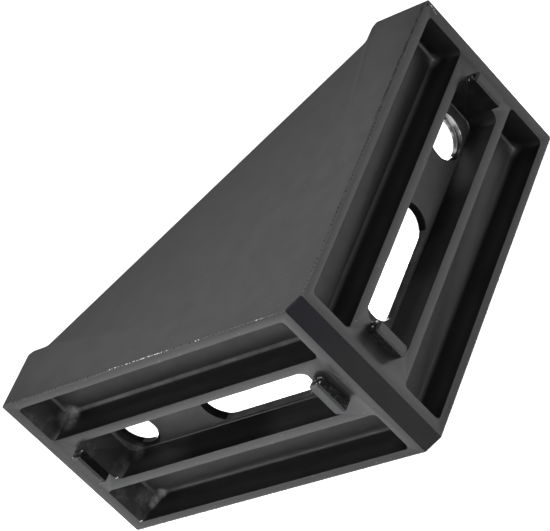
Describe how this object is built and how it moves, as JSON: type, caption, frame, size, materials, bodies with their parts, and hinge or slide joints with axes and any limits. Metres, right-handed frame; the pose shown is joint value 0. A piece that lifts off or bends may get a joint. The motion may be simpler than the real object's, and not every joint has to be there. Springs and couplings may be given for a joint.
{
  "type": "t slot corner bracket",
  "caption": "Cast right-angle bracket for slotted framing, with side gussets, recessed mounting faces, bolt slots, round bolt holes and locating tabs.",
  "frame": {"origin": "on the line where the planes of the two mounting faces meet, halfway across the bracket", "axes": "+X along one leg, whose mounting face looks along -Y, and +Y along the other, whose mounting face looks along -X; +Z across the bracket, so that it lies on the outer side of one gusset"},
  "size_m": [0.0823, 0.0823, 0.04],
  "materials": {
    "black_coating": "satin"
  },
  "bodies": {
    "root": {"corner_bracket": "black_coating"}
  },
  "joints": []
}
